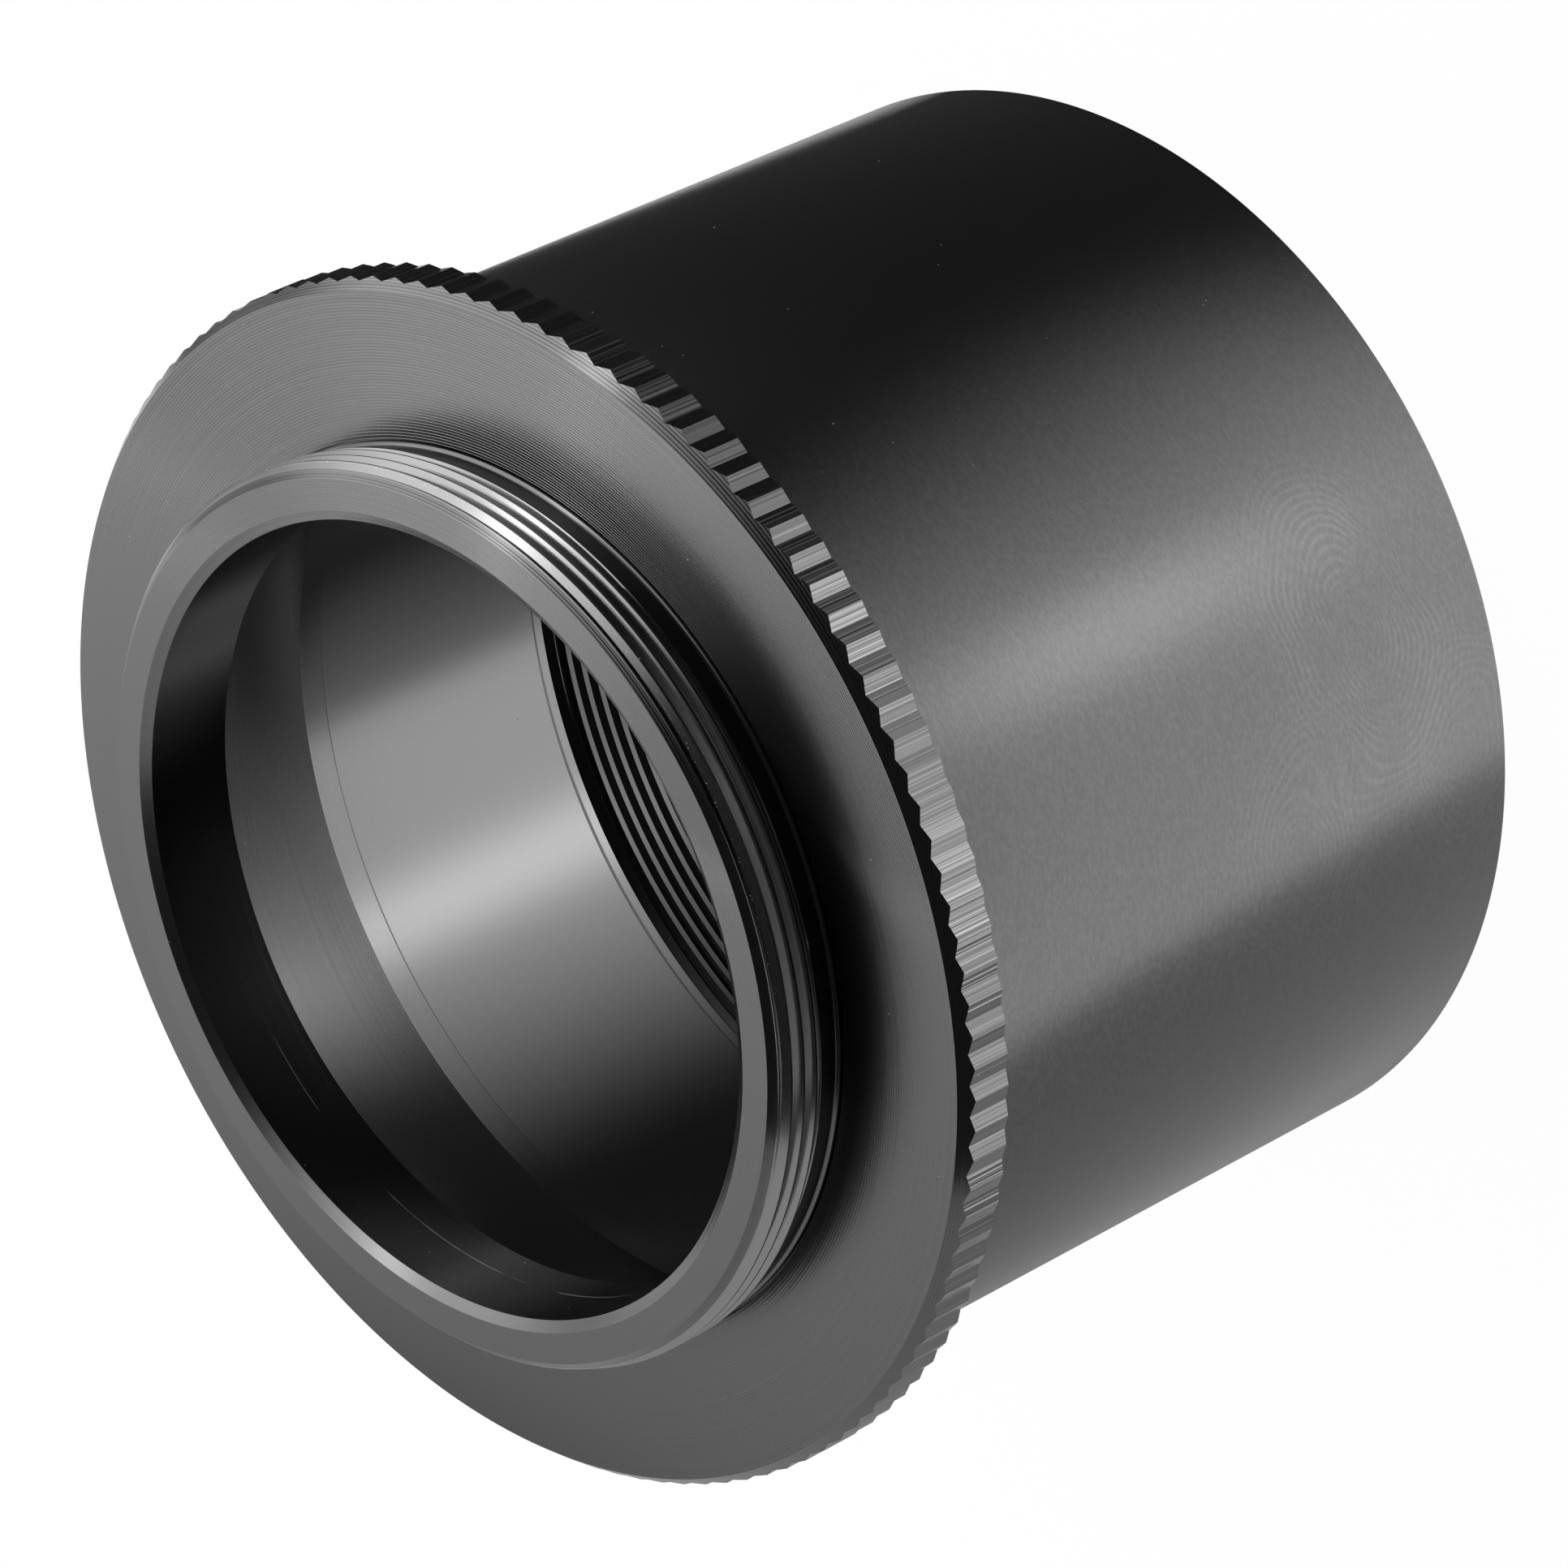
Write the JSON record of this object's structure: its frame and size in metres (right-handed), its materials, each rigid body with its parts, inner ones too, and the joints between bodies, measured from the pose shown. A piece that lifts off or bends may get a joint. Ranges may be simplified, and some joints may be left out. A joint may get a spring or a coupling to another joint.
{
  "type": "telescope camera adapter",
  "caption": "Tubular telescope-to-camera adapter with a push-in barrel, a knurled stop flange and a short boss for a camera ring's thread, bored through.",
  "frame": {"origin": "middle of the barrel's rear rim, on the surface that the part stands on", "axes": "+Z along the light path's axis, from the barrel's rear rim towards the threaded boss"},
  "size_m": [0.056, 0.056, 0.0417],
  "materials": {
    "anodised_body": "satin black anodised, fine turning marks"
  },
  "bodies": {
    "root": {"adapter_body": "anodised_body"}
  },
  "joints": []
}
